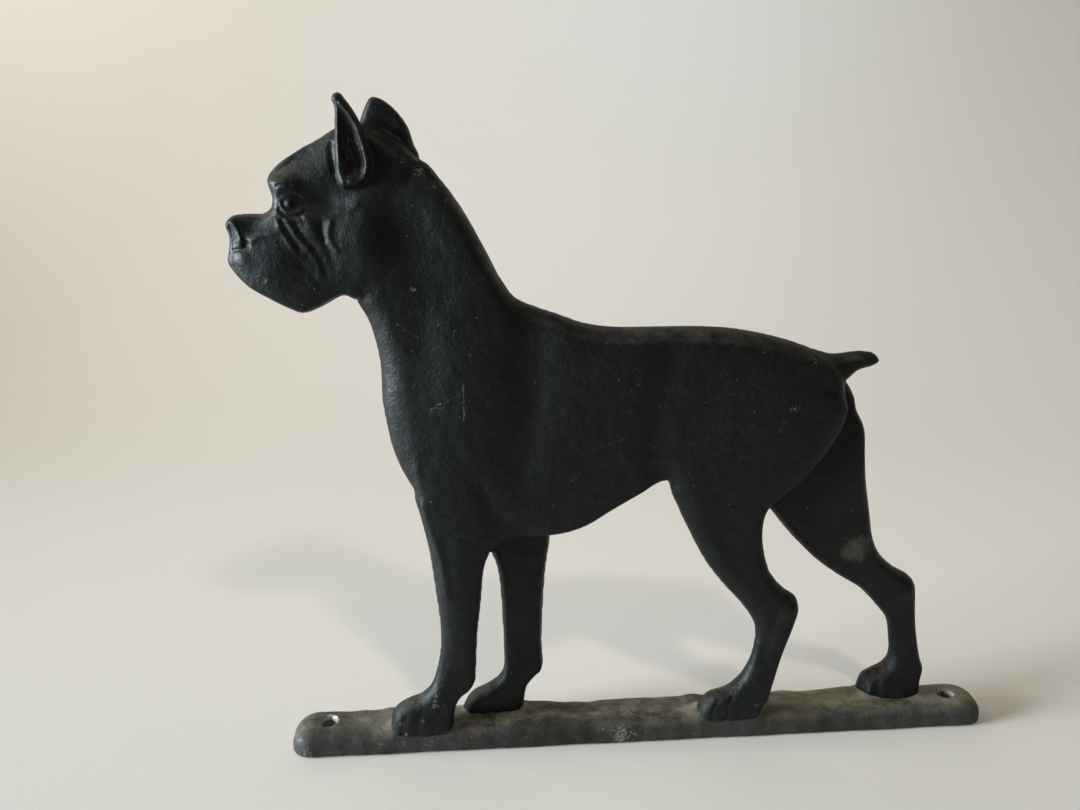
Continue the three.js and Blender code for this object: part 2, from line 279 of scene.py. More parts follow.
# Relief on a part's sides, in mm: which side, height, then a ridge's width and path, or a
# swelling's centre, half sizes and turn in degrees. Negative heights sink.
relief = {
    "trunk": {
        "swellings": [
            ("both", 1.5, (-73, 152), (17, 30), 0),
            ("both", 0.7, (-16, 150), (26, 28), 0),
            ("both", 1.3, (42, 143), (24, 28), 0),
            ("both", -2.0, (-91, 210), (10, 20), 14),
            ("both", -1.8, (-91, 238), (10, 6), -30),
            ("both", -0.7, (-88, 176), (6, 14), 0),
        ],
        "ridges": [
            ("both", -1.7, 8, [(-49, 188), (-49.5, 168), (-50, 150), (-53, 128)]),
            ("both", -1.2, 6, [(4, 168), (-0.5, 150), (-1.5, 134), (2, 121)]),
            ("both", 0.8, 1.6, [(-93.2, 128), (-92.8, 125), (-91.3, 117), (-88.9, 102)]),
            ("both", -0.7, 4, [(-70, 118), (-62, 104), (-52, 99)]),
        ],
    },
    "head": {
        "swellings": [
            ("both", 2.4, (-107.5, 213), (10.5, 12.5), 0),
            ("both", -2.6, (-120.5, 226.5), (8.5, 4.6), -8),
            ("both", 1.6, (-134.6, 232.6), (4.6, 3.2), 0),
            ("both", 1.6, (-143.5, 203.5), (11, 8.5), 0),
            ("both", -1.4, (-132.4, 225.2), (3.6, 2.3), -8),
            ("both", 1.6, (-132.9, 225.3), (1.6, 1.4), 0),
            ("both", 1.1, (-151, 206.4), (3.0, 3.2), 0),
            ("both", -1.4, (-146.5, 217.6), (6, 2.6), 0),
            ("both", -1.3, (-148.9, 211.5), (1.5, 1.1), 30),
            ("both", 0.8, (-125.9, 217), (2.7, 3.6), 15),
            ("both", -3.0, (-91, 210), (8, 17), 14),
            ("both", -3.3, (-137, 243), (15, 9), 30),
            ("both", -3.2, (-160, 207), (14, 16), 0),
            ("near", -4.2, (-109.6, 239.0), (5.2, 6.8), 0),
            ("far", -3.2, (-99, 243), (4.6, 5), 0),
        ],
        "ridges": [
            ("both", 0.5, 0.55, [(-135.9, 225), (-134.7, 222.9), (-132.9, 222.1), (-130.6, 222.2), (-128.6, 223.1)]),
            ("both", -0.45, 0.5, [(-136.4, 223.2), (-134.7, 221.4), (-132.6, 220.7), (-130, 221), (-128, 222)]),
            ("both", 0.25, 0.6, [(-137, 222), (-135, 219.9), (-132.5, 219.2), (-129.5, 219.6)]),
            ("both", 0.3, 0.7, [(-135.8, 226.4), (-133.8, 227.3), (-131.4, 227.0), (-129.4, 225.6)]),
            ("both", -0.35, 0.7, [(-136.3, 227.8), (-134, 228.7), (-131.4, 228.5), (-129.2, 227.4)]),
            ("both", -0.28, 0.45, [(-137.6, 233.4), (-135.2, 234.3), (-132, 233.8)]),
            ("both", 0.25, 0.45, [(-137.1, 232.3), (-135, 233.1), (-132.6, 232.8), (-130.6, 231.8)]),
            ("both", -0.3, 0.45, [(-136.6, 231.2), (-134.4, 231.8), (-131.8, 231.4)]),
            ("both", 0.3, 0.5, [(-135.9, 230.2), (-133.8, 230.6), (-131.8, 230.3), (-129.6, 229.3)]),
            ("both", 0.42, 0.9, [(-137.3, 219.4), (-136.2, 216.4), (-134.4, 213), (-132.6, 210)]),
            ("both", -0.36, 0.8, [(-135.7, 219.4), (-134.4, 216.4), (-132.5, 213), (-130.4, 210)]),
            ("both", 0.42, 1.0, [(-134, 219), (-132.4, 216.4), (-130.2, 213.2), (-127.4, 210)]),
            ("both", 0.2, 1.4, [(-127.4, 210), (-125, 206), (-123.6, 201)]),
            ("both", -0.45, 1.0, [(-131, 218.2), (-129.6, 215.6), (-127.6, 212.4), (-125.4, 209.6)]),
            ("both", -0.22, 1.3, [(-125.4, 209.6), (-122.8, 205.4), (-121.6, 200.6)]),
            ("both", -0.6, 0.9, [(-122.4, 218.8), (-122.4, 215.6), (-121.8, 212.6)]),
            ("both", -0.25, 1.3, [(-121.8, 212.6), (-120, 208.6), (-118.4, 203)]),
            ("both", 0.5, 1.1, [(-119, 218.8), (-119.8, 215.6), (-119.4, 212.4), (-117.6, 209)]),
            ("both", 0.55, 1.2, [(-127.4, 220.8), (-122.6, 220.6), (-119, 221), (-116, 222.2),
                                 (-112.5, 222.9), (-109.8, 225)]),
            ("both", -0.22, 1.0, [(-130.4, 205), (-127.2, 200), (-124.4, 196.6)]),
            ("both", 0.2, 0.9, [(-128.4, 200.6), (-125.4, 196.6)]),
            ("both", 0.8, 0.8, [(-153.4, 219.4), (-152.2, 217.6), (-151.2, 215.2), (-150.6, 212.9)]),
            ("both", -0.6, 0.6, [(-153.4, 209.2), (-150.6, 209.6), (-148.2, 211)]),
            ("both", 0.6, 1.4, [(-147.2, 212.4), (-144.6, 214.2), (-141, 215.4), (-137.6, 216)]),
            ("near", -0.9, 0.8, [(-117.7, 245), (-117.8, 241), (-117, 236)]),
        ],
    },
    "nearEar": {
        "swellings": [
            ("near", -2.9, (-109.0, 238.4), (3.3, 4.8), 0),
            ("near", -2.3, (-110.7, 248.5), (2.3, 6.5), 14),
            ("near", 0.9, (-113.9, 232.2), (1.3, 1.9), 0),
        ],
        "ridges": [
            ("near", -1.2, 0.9, [(-113, 247.4), (-112.8, 244.4), (-112, 241)]),
            ("near", 1.3, 0.55, [(-113.2, 258.4), (-110.6, 255.2), (-108.4, 251.6), (-107, 247.6), (-105.9, 244)]),
            ("near", 1.4, 1.2, [(-105.6, 243), (-105.3, 239.6), (-105.6, 236), (-107, 233.4),
                                (-109.2, 232.4), (-111, 232.6)]),
            ("near", 0.7, 1.3, [(-114.9, 249), (-115.1, 243), (-114.9, 239)]),
            ("near", 0.8, 1.0, [(-111.2, 245.4), (-110.2, 242.4), (-109.6, 240.2)]),
        ],
    },
    "farEar": {
        "swellings": [
            ("near", -1.2, (-99, 250), (5, 5), 0),
            ("far", -3.4, (-99, 246), (3.4, 5.6), 0),
        ],
        "ridges": [
            ("far", 0.9, 0.7, [(-103.6, 258), (-98, 255.6), (-94.4, 250.6), (-93.2, 244)]),
        ],
    },
    "nearForeleg": {
        "swellings": [
            ("both", -1.6, (-80, 36), (9, 17), 0),
            ("both", 0.6, (-78, 84), (5, 18), 0),
            ("both", 0.5, (-100, 14), (6, 5), 0),
        ],
        "ridges": [
            ("both", 0.9, 1.4, [(-91.3, 112), (-89, 101), (-86.7, 94), (-84.6, 84), (-83.4, 72)]),
            ("both", -0.5, 0.9, [(-103.4, 8), (-103.2, 13), (-101.6, 17)]),
            ("both", -0.5, 0.9, [(-97.4, 8), (-97, 14), (-95, 19)]),
            ("both", -0.2, 0.9, [(-91, 8), (-90, 14), (-88.4, 18)]),
            ("both", 0.5, 1.0, [(-88.6, 27), (-85.4, 23), (-83.6, 18)]),
        ],
    },
    "farForeleg": {
        "swellings": [("both", -1.6, (-52, 38), (8, 16), 0)],
        "ridges": [
            ("both", -0.5, 0.9, [(-72.6, 8), (-72.2, 13), (-70.6, 17)]),
            ("both", -0.5, 0.9, [(-66.6, 8), (-66.2, 14), (-64.4, 18.5)]),
        ],
    },
    "nearHindleg": {
        "swellings": [
            ("both", 1.3, (42, 140), (22, 25), 0),
            ("both", -1.5, (50, 38), (8, 12), -14),
            ("both", 0.9, (57, 59), (3.6, 4), 0),
            ("both", -0.9, (30, 92), (7, 13), 22),
        ],
        "ridges": [
            ("both", -0.7, 1.7, [(55, 66), (51, 56), (50.6, 46), (49, 36)]),
            ("both", -0.5, 0.9, [(27.6, 8), (28, 13), (30, 17)]),
            ("both", -0.5, 0.9, [(33.6, 8), (34, 14), (36, 18.5)]),
            ("both", -0.2, 0.9, [(40, 8), (40.6, 13), (42.4, 18)]),
        ],
    },
    "farHindleg": {
        "swellings": [
            ("both", -1.4, (114, 38), (7, 12), -8),
            ("both", 0.9, (112, 61), (3.6, 4), 0),
            ("both", 0.7, (84, 88), (9, 10), 0),
            ("near", 2.8, (78, 118), (12, 28), -8),
            ("near", 2.8, (112, 10), (10, 8.5), 0),
            ("near", 0.7, (101, 13), (2.2, 4.5), 0),
            ("near", 0.7, (107, 13.5), (2.2, 5), 0),
        ],
        "ridges": [
            ("both", -0.7, 1.6, [(110, 66), (112, 54), (113, 40)]),
            ("both", -0.4, 0.9, [(102, 8), (102.4, 13), (104, 17)]),
            ("both", -0.4, 0.9, [(108, 8), (108.4, 14), (110, 19)]),
        ],
    },
}

partNames = ("trunk", "head", "tail", "nearForeleg", "farForeleg", "nearHindleg", "farHindleg", "nearEar", "farEar")


def smoothLoop(rows, steps):
    # a closed smooth curve through the rows, with the spacing taken into account
    rows = np.array(rows, float)
    count = len(rows)
    made = []
    for i in range(count):
        a, b, c, d = (rows[(i + k - 1) % count] for k in range(4))
        gaps = [max(np.linalg.norm(q[:2] - p[:2]), 1e-6) ** 0.5 for p, q in ((a, b), (b, c), (c, d))]
        startSlope = ((b - a) / gaps[0] - (c - a) / (gaps[0] + gaps[1]) + (c - b) / gaps[1]) * gaps[1]
        endSlope = ((c - b) / gaps[1] - (d - b) / (gaps[1] + gaps[2]) + (d - c) / gaps[2]) * gaps[1]
        for t in np.arange(steps) / steps:
            made.append(
                (2 * t**3 - 3 * t**2 + 1) * b + (t**3 - 2 * t**2 + t) * startSlope
                + (3 * t**2 - 2 * t**3) * c + (t**3 - t**2) * endSlope
            )
    return np.array(made)


def distanceToPath(gx, gz, path):
    nearest = np.full(gx.shape, 1e9)
    for p, q in zip(path[:-1], path[1:]):
        ex, ez = q[0] - p[0], q[1] - p[1]
        t = np.clip(((gx - p[0]) * ex + (gz - p[1]) * ez) / max(ex * ex + ez * ez, 1e-12), 0, 1)
        nearest = np.minimum(nearest, np.hypot(gx - p[0] - t * ex, gz - p[1] - t * ez))
    return nearest


def smoothPath(path):
    # open curve: the ends are held by doubling them
    rows = np.array([path[0], *path, path[-1]], float)
    made = []
    for i in range(1, len(rows) - 2):
        a, b, c, d = rows[i - 1 : i + 3]
        for t in (0, 0.25, 0.5, 0.75):
            bow = (2 * a - 5 * b + 4 * c - d) * t * t + (3 * b - a - 3 * c + d) * t**3
            made.append(0.5 * (2 * b + (c - a) * t + bow))
    made.append(rows[-1])
    return made


def reliefMap(gx, gz, features, side):
    added = np.zeros(gx.shape)
    for where, height, (cx, cz), (rx, rz), turn in features.get("swellings", ()):
        if where in ("both", side):
            c, s = math.cos(math.radians(turn)), math.sin(math.radians(turn))
            u = ((gx - cx) * c + (gz - cz) * s) / rx
            v = ((gz - cz) * c - (gx - cx) * s) / rz
            added += height * np.exp(-(u * u + v * v))
    for where, height, width, path in features.get("ridges", ()):
        if where in ("both", side):
            added += height * np.exp(-((distanceToPath(gx, gz, smoothPath(path)) / width) ** 2))
    return added


def thicknessMap(name):
    # half thickness over the outline on a fine grid: zero on the outline, negative outside it
    part = hound[name]
    loop = smoothLoop(part["outline"], 8)
    cell = hound["fineCell"] if name in ("head", "nearEar", "farEar") else hound["cell"]
    low = np.floor(loop[:, :2].min(0)) - hound["margin"]
    size = np.ceil((loop[:, :2].max(0) + hound["margin"] - low) / cell).astype(int) + 1
    gx, gz = np.meshgrid(low[0] + np.arange(size[0]) * cell, low[1] + np.arange(size[1]) * cell, indexing="ij")
    nearest = np.full(gx.shape, 1e9)
    rim = np.zeros(gx.shape)
    inside = np.zeros(gx.shape, bool)
    blend = np.zeros(gx.shape)
    for p, q in zip(loop, np.roll(loop, -1, 0)):
        ex, ez = q[0] - p[0], q[1] - p[1]
        t = np.clip(((gx - p[0]) * ex + (gz - p[1]) * ez) / max(ex * ex + ez * ez, 1e-12), 0, 1)
        distance = np.hypot(gx - p[0] - t * ex, gz - p[1] - t * ez)
        nearest = np.minimum(nearest, distance)
        # the rim width is a soft average of the edges close by, so it never jumps
        weight = math.hypot(ex, ez) / (distance**2 + 1.0) ** 2
        rim += weight * (p[2] + t * (q[2] - p[2]))
        blend += weight
        crosses = (p[1] > gz) != (q[1] > gz)
        if ez:
            inside ^= crosses & (gx < p[0] + (gz - p[1]) * ex / ez)
    rim /= blend
    half = (part["faces"][1] - part["faces"][0]) / 2
    power = hound["roundness"]
    t = np.clip(nearest / rim, 0, 1)
    broad = np.clip(nearest / (rim * hound["domeReach"]), 0, 1)
    height = half * ((1 - hound["dome"]) * (1 - (1 - t) ** power) ** (1 / power)
                     + hound["dome"] * (1 - (1 - broad) ** 2) ** 0.5)
    fade = np.clip(nearest / hound["reliefFade"], 0, 1)
    made = {"low": low, "cell": cell, "middle": sum(part["faces"]) / 2}
    for side in ("near", "far"):
        shaped = height + reliefMap(gx, gz, relief.get(name, {}), side) * fade
        made[side] = np.where(inside, np.maximum(shaped, 0.15 * np.minimum(nearest, half)), -nearest)
    return made


def readMap(made, side, x, z):
    u = (x - made["low"][0]) / made["cell"]
    v = (z - made["low"][1]) / made["cell"]
    h = made[side]
    cu, cv = np.clip(u, 0, h.shape[0] - 1.001), np.clip(v, 0, h.shape[1] - 1.001)
    i, j = cu.astype(int), cv.astype(int)
    fu, fv = cu - i, cv - j
    value = (h[i, j] * (1 - fu) * (1 - fv) + h[i + 1, j] * fu * (1 - fv)
             + h[i, j + 1] * (1 - fu) * fv + h[i + 1, j + 1] * fu * fv)
    return value - np.hypot(u - cu, v - cv) * made["cell"]


def softLeast(a, b, width):
    mix = np.clip(0.5 + 0.5 * (b - a) / width, 0, 1)
    return b * (1 - mix) + a * mix - width * mix * (1 - mix)


def houndField(points, maps):
    # below zero inside the hound, above zero outside it
    field = None
    for name in partNames:
        made = maps[name]
        across = points[:, 1] - made["middle"]
        near = across < 0
        part = np.abs(across)
        part[near] -= readMap(made, "near", points[near, 0], points[near, 2])
        part[~near] -= readMap(made, "far", points[~near, 0], points[~near, 2])
        if field is None:
            field = part
        elif "Ear" in name:
            field = softLeast(field, part, hound["earFillet"])
        else:
            field = softLeast(field, part, hound["fillet"])
    return field


def walk(points, field, rounds, stride, longestStep=math.inf):
    # moves each point along the field's slope until it lies on the surface
    for _ in range(rounds):
        value = field(points)
        slope = np.empty_like(points)
        for axis in range(3):
            shift = np.zeros(3)
            shift[axis] = stride
            slope[:, axis] = (field(points + shift) - field(points - shift)) / (2 * stride)
        step = (value / np.maximum((slope**2).sum(1), 0.25))[:, None] * slope
        length = np.linalg.norm(step, axis=1, keepdims=True)
        points = points - step * np.minimum(1.0, longestStep / np.maximum(length, 1e-9))
    return points


def settle(bm, maps):
    onHound = walk(coordinates(bm), lambda points: houndField(points, maps), 3, hound["stride"], hound["longestStep"])
    place(bm, onHound)


def relax(bm, factor):
    bmesh.ops.smooth_vert(bm, verts=bm.verts[:], factor=factor, use_axis_x=True, use_axis_y=True, use_axis_z=True)


def evenSkin(rough, voxel):
    # turns a rough piece into one closed skin of even cells
    remesh = rough.modifiers.new("evenSkin", "REMESH")
    remesh.mode = "VOXEL"
    remesh.voxel_size = voxel * mm
    skin = bpy.data.meshes.new_from_object(rough.evaluated_get(bpy.context.evaluated_depsgraph_get()))
    bpy.data.objects.remove(rough)
    bm = bmesh.new()
    bm.from_mesh(skin)
    bpy.data.meshes.remove(skin)
    return bm


def addSlab(bm, part):
    loop = smoothLoop(part["outline"], 3)
    near, far = part["faces"]
    ring = [bm.verts.new((x * mm, near * mm, z * mm)) for x, z, _ in loop]
    face = bm.faces.new(ring)
    grown = bmesh.ops.extrude_face_region(bm, geom=[face])
    moved = [v for v in grown["geom"] if isinstance(v, bmesh.types.BMVert)]
    bmesh.ops.translate(bm, verts=moved, vec=(0, (far - near) * mm, 0))


def coordinates(bm):
    return np.array([v.co[:] for v in bm.verts]) / mm


def place(bm, points):
    for vertex, point in zip(bm.verts, points * mm):
        vertex.co = point


def makeHoundBase(maps):
    bm = bmesh.new()
    for name in partNames:
        addSlab(bm, hound[name])
    bmesh.ops.recalc_face_normals(bm, faces=bm.faces[:])
    bm = evenSkin(meshObject("houndRough", bm), hound["voxel"])
    for _ in range(3):
        relax(bm, 0.5)
        settle(bm, maps)
    return bm


def splitFaces(bm, wanted):
    edges = {edge for face in bm.faces if wanted(face.calc_center_median() / mm) for edge in face.edges}
    bmesh.ops.subdivide_edges(bm, edges=list(edges), cuts=1, use_grid_fill=True)


def refineHound(bm, maps):
    # finer cells on the head and paws, then finer again on the face and in the near ear
    splitFaces(bm, lambda c: (c.x < -88 and c.z > 186) or c.z < 22)
    settle(bm, maps)
    splitFaces(bm, lambda c: (c.x < -116 and c.z > 206 and c.z < 237 and abs(c.y) > 1.5)
               or (c.x < -102 and c.z > 229 and c.y < -2.5))
    for _ in range(2):
        relax(bm, 0.35)
        settle(bm, maps)


# Worn places: X, Z, reach and strength, in mm. The paint has flaked or been rubbed pale there.
wornSpots = [
    (-91.5, 195, 1.6, 1.0), (-97, 182, 1.4, 0.9), (-83, 182, 1.4, 0.9), (-77, 179.5, 1.6, 0.9),
    (-72, 171, 1.4, 0.8), (-80.5, 154.5, 1.8, 0.9), (-83.5, 152, 2.0, 0.9), (-86.5, 150, 2.0, 0.9),
    (-102, 157, 1.6, 0.8), (-11.5, 148, 2.0, 0.8), (-12, 155, 1.8, 0.8), (-10.4, 163.6, 1.6, 0.7),
    (38.6, 169.5, 1.4, 1.0), (51, 148, 4.2, 0.75), (47, 139.5, 3.4, 0.7), (32, 127.8, 3.6, 0.6),
    (-51.6, 107.4, 3.0, 0.7), (-33, 121, 3.0, 0.6), (-41, 109.8, 3.0, 0.6), (58.6, 166, 2.6, 0.8),
    (71, 167.6, 2.2, 0.8), (56, 57, 5.5, 0.55), (87, 82, 9.0, 0.6), (-89, 22, 2.4, 0.9),
    (-95, 15, 2.0, 0.9), (-104, 14, 1.8, 0.9), (-102, 9, 1.8, 0.9), (32, 12, 2.0, 0.8),
    (47, 15.5, 2.2, 0.8), (-88, 236, 3.4, 0.9), (-93, 240, 3.0, 0.8), (-83, 231, 2.6, 0.9),
    (-79, 226, 2.2, 0.8), (-60, 205, 2.0, 0.9), (-84, 222, 3.0, 0.5), (28, 92, 4.0, 0.5),
    (38, 78, 4.0, 0.5), (34, 84, 4.0, 0.5), (-12, 3.5, 6.0, 1.0), (-6, 4, 4.0, 0.9),
    (-112, 4, 3.0, 0.8), (-104, 5, 3.0, 0.8), (-92, 5.5, 4.0, 0.7), (-143, 2.5, 4.0, 0.8),
    (-130, 1.5, 3.0, 0.7), (20, 3, 3.0, 0.7), (60, 2.5, 3.0, 0.7), (-143, 199, 1.4, 1.0),
    (-17, 135, 6.0, 0.5), (-28, 132, 5.0, 0.5), (12, 120, 4.0, 0.5),
]
scratchesAndEarGlint = [
    (0.75, 1.0, [(-74.4, 160), (-74.2, 152), (-74.7, 146)]),
    (0.6, 0.8, [(-10.4, 157.6), (-6, 159.4), (0, 159)]),
    (0.7, 0.7, [(-25.4, 133), (-18, 136), (-12, 138)]),
    (1.0, 1.0, [(-87.6, 28), (-89.6, 24.6), (-90.6, 21)]),
    # not a scratch: a painted highlight, a pale line along the near ear's back rim standing in for its glint
    (0.8, 0.55, [(-113, 259), (-110.4, 255.6), (-107.4, 251), (-105.4, 245)]),
]


def addWear(piece):
    # stores, for each vertex: how far it faces up, how sharply it stands out, and how much wear it has, which also
    # carries the painted highlight along the near ear's rim
    mesh = piece.data
    count = len(mesh.vertices)
    at = np.empty(count * 3)
    mesh.vertices.foreach_get("co", at)
    at = at.reshape(-1, 3) / mm
    normals = np.empty(count * 3)
    mesh.vertices.foreach_get("normal", normals)
    normals = normals.reshape(-1, 3)
    ends = np.empty(len(mesh.edges) * 2, int)
    mesh.edges.foreach_get("vertices", ends)
    ends = ends.reshape(-1, 2)
    total, used = np.zeros((count, 3)), np.zeros(count)
    for a, b in ((0, 1), (1, 0)):
        np.add.at(total, ends[:, a], at[ends[:, b]])
        np.add.at(used, ends[:, a], 1)
    spacing = np.zeros(count)
    step = np.linalg.norm(at[ends[:, 0]] - at[ends[:, 1]], axis=1)
    np.add.at(spacing, ends[:, 0], step)
    np.add.at(spacing, ends[:, 1], step)
    used = np.maximum(used, 1)
    bend = -((total / used[:, None] - at) * normals).sum(1) / np.maximum(spacing / used, 0.1) ** 2
    for _ in range(3):
        near = np.zeros(count)
        np.add.at(near, ends[:, 0], bend[ends[:, 1]])
        np.add.at(near, ends[:, 1], bend[ends[:, 0]])
        bend = 0.5 * bend + 0.5 * near / used
    worn = np.zeros(count)
    for x, z, reach, strength in wornSpots:
        worn = np.maximum(worn, strength * np.exp(-(((at[:, 0] - x) ** 2 + (at[:, 2] - z) ** 2) / reach**2)))
    for width, strength, path in scratchesAndEarGlint:
        worn = np.maximum(worn, strength * np.exp(-((distanceToPath(at[:, 0], at[:, 2], path) / width) ** 2)))
    for name, values in (("facingUp", normals[:, 2]), ("bend", np.clip(bend, -1.5, 1.5)), ("worn", worn)):
        layer = mesh.attributes.new(name, "FLOAT", "POINT")
        layer.data.foreach_set("value", values.astype(np.float32))


maps = {name: thicknessMap(name) for name in partNames}
print("thickness maps made")
houndMesh = makeHoundBase(maps)
refineHound(houndMesh, maps)
print("hound skin:", len(houndMesh.faces), "faces")
houndPiece = meshObject("hound", houndMesh)

# ---------------------------------------------------------------- paint

paint = {
    "black": (0.0026, 0.0032, 0.0029),
    "blackWorn": (0.0082, 0.0091, 0.0083),
    # pale brown for dust and for painted top light on up-facing faces
    "dustAndTopLight": (0.100, 0.084, 0.056),
    # pale colour for bare metal and for the painted highlight on the near ear's rim
    "bare": (0.30, 0.315, 0.305),
    "stain": (0.075, 0.074, 0.052),
    "stainAt": (87.0, -1.8, 82.0),
    "shine": 0.26,
    "shineTint": (0.88, 0.97, 1.0),
    "roughness": (0.44, 0.58),
    "grain": 1000.0,        # grains per metre
    "grainHeight": 0.00022,
    "lumpHeight": 0.0007,
}


def nodeMaker(tree):
    def make(kind, **settings):
        made = tree.nodes.new("ShaderNode" + kind)
        for key, value in settings.items():
            setattr(made, key, value)
        return made

    def feed(target, source):
        if hasattr(source, "outputs"):
            source = source.outputs[0]
        if isinstance(source, bpy.types.NodeSocket):
            tree.links.new(source, target)
        else:
            target.default_value = source

    def noise(scale, detail=3.0, rough=0.55, stretch=None):
        texture = make("TexNoise")
        texture.inputs["Scale"].default_value = scale
        texture.inputs["Detail"].default_value = detail
        texture.inputs["Roughness"].default_value = rough
        place = make("Mapping")
        if stretch:
            place.inputs["Scale"].default_value = stretch
        tree.links.new(coords.outputs["Object"], place.inputs["Vector"])
        tree.links.new(place.outputs[0], texture.inputs["Vector"])
        return texture.outputs[0]

    def ramp(source, low, high, outLow=0.0, outHigh=1.0):
        made = make("MapRange", interpolation_type="SMOOTHSTEP")
        feed(made.inputs["Value"], source)
        for socket, value in zip(("From Min", "From Max", "To Min", "To Max"), (low, high, outLow, outHigh)):
            made.inputs[socket].default_value = value
        return made.outputs[0]

    def calc(operation, a, b=None):
        made = make("Math", operation=operation)
        feed(made.inputs[0], a)
        if b is not None:
            feed(made.inputs[1], b)
        return made.outputs[0]

    def mix(factor, a, b):
        made = make("Mix", data_type="RGBA")
        feed(made.inputs[0], factor)
        for socket, value in ((made.inputs[6], a), (made.inputs[7], b)):
            feed(socket, (*value, 1.0) if isinstance(value, tuple) else value)
        return made.outputs[2]

    def attribute(name):
        return make("Attribute", attribute_name=name).outputs["Fac"]

    coords = make("TexCoord")
    return make, feed, noise, ramp, calc, mix, attribute, coords


def specks(make, tree, coords, scale, size, share, ramp, calc):
    # pale flecks: a few of the cells, each a small spot
    cells = make("TexVoronoi")
    cells.inputs["Scale"].default_value = scale
    tree.links.new(coords.outputs["Object"], cells.inputs["Vector"])
    split = make("SeparateColor")
    tree.links.new(cells.outputs["Color"], split.inputs[0])
    spot = ramp(cells.outputs["Distance"], size, size * 0.5)
    return calc("MULTIPLY", spot, ramp(split.outputs[0], 1.0 - share, 1.0 - share * 0.8))


def blackPaint():
    material, tree, shader = newMaterial("wornBlackPaint")
    make, feed, noise, ramp, calc, mix, attribute, coords = nodeMaker(tree)
    cloud = ramp(noise(38.0, 5.0, 0.6), 0.38, 0.68)
    fine = noise(900.0, 4.0, 0.65)
    up = ramp(attribute("facingUp"), 0.35, 1.0)
    hollow = ramp(attribute("bend"), -0.02, -0.30)
    proud = ramp(attribute("bend"), 0.10, 0.55)
    patchy = ramp(noise(120.0, 5.0, 0.65), 0.35, 0.7)
    mottle = ramp(noise(420.0, 5.0, 0.7), 0.36, 0.70)
    wear = calc("ADD", calc("MULTIPLY", cloud, 0.35), calc("MULTIPLY", mottle, 0.4))
    colour = mix(wear, paint["black"], paint["blackWorn"])
    # up-facing faces get a pale brown mix: partly dust, partly painted top light standing in for the warm light on
    # tops
    onTop = calc("MULTIPLY", up, calc("MULTIPLY", patchy, 0.5))
    dustAndTopLight = calc("ADD", onTop, calc("MULTIPLY", hollow, calc("MULTIPLY", fine, 0.10)))
    colour = mix(calc("MINIMUM", dustAndTopLight, 0.8), colour, paint["dustAndTopLight"])
    rubbed = calc("MULTIPLY", proud, ramp(fine, 0.42, 0.75))
    colour = mix(calc("MULTIPLY", rubbed, 0.10), colour, paint["bare"])
    worn = attribute("worn")
    chipsAndGlint = calc("ADD", calc("MULTIPLY", worn, 0.30), noise(1500.0, 5.0, 0.7))
    flakedAndGlint = calc("MULTIPLY", ramp(chipsAndGlint, 0.74, 0.86), ramp(worn, 0.12, 0.5))
    dots = calc("MULTIPLY", specks(make, tree, coords, 420.0, 0.13, 0.055, ramp, calc), 0.42)
    dots = calc("MAXIMUM", dots, calc("MULTIPLY", specks(make, tree, coords, 1100.0, 0.22, 0.05, ramp, calc), 0.26))
    away = make("VectorMath", operation="DISTANCE")
    tree.links.new(coords.outputs["Object"], away.inputs[0])
    away.inputs[1].default_value = [v * mm for v in paint["stainAt"]]
    reach = calc("ADD", away.outputs["Value"], calc("MULTIPLY", noise(260.0, 4.0, 0.65), 0.016))
    colour = mix(calc("MULTIPLY", ramp(reach, 0.0158, 0.0100), 0.75), colour, paint["stain"])
    # pale places: flaked paint, flecks, and the painted highlight along the near ear's rim
    pale = calc("MAXIMUM", calc("MULTIPLY", flakedAndGlint, 0.62), dots)
    colour = mix(pale, colour, paint["bare"])
    tree.links.new(colour, shader.inputs["Base Color"])
    rough = ramp(noise(70.0, 4.0, 0.6), 0.3, 0.7, *paint["roughness"])
    tree.links.new(calc("ADD", rough, calc("MULTIPLY", dustAndTopLight, 0.25)), shader.inputs["Roughness"])
    shader.inputs["Specular IOR Level"].default_value = paint["shine"]
    shader.inputs["Specular Tint"].default_value = (*paint["shineTint"], 1.0)
    lumps = make("Bump")
    lumps.inputs["Strength"].default_value = 1.0
    lumps.inputs["Distance"].default_value = paint["lumpHeight"]
    tree.links.new(noise(170.0, 3.0, 0.5), lumps.inputs["Height"])
    grain = make("Bump")
    grain.inputs["Strength"].default_value = 1.0
    grain.inputs["Distance"].default_value = paint["grainHeight"]
    tree.links.new(noise(paint["grain"], 3.0, 0.6), grain.inputs["Height"])
    tree.links.new(lumps.outputs[0], grain.inputs["Normal"])
    tree.links.new(grain.outputs[0], shader.inputs["Normal"])
    return material


# ---------------------------------------------------------------- the plank

plank = {
    "length": 300.0, "depth": 22.0, "height": 9.8,
    "frontCorner": 8.0, "rearCorner": 13.0,
    "shoulder": 8.0,         # mm, how softly the top turns down
    "foot": 1.0,             # the same, at the bottom edge
    "voxel": 1.1,
    "stride": 0.2,           # mm, for measuring the slope
    "endHoleX": 135.5, "endHoleD": 5.8, "sinkD": 8.4, "sinkDepth": 1.6,
    "screws": [(-94, -5.4), (-62, 5.4), (41, -5.4), (112, 5.4)],
    "paws": [(-107, -84, -10, -2), (-76, -54, 2, 9), (24, 48, -10, -2), (99, 123, 0, 9)],
    "collar": (1.3, 2.2),    # mm, how high the casting is dressed up round a paw, and how far out
    "swells": [(-109, 4, 0.7), (-53, 8, 0.9), (-43, 5, 0.5), (-25, 7, -0.7), (5, 9, -0.4), (14, 5, -0.5),
               (23, 4, 0.6), (62, 6, 0.5), (75, 6, -0.6), (93, 6, 0.5), (-125, 8, -0.3), (45, 9, 0.3)],
}


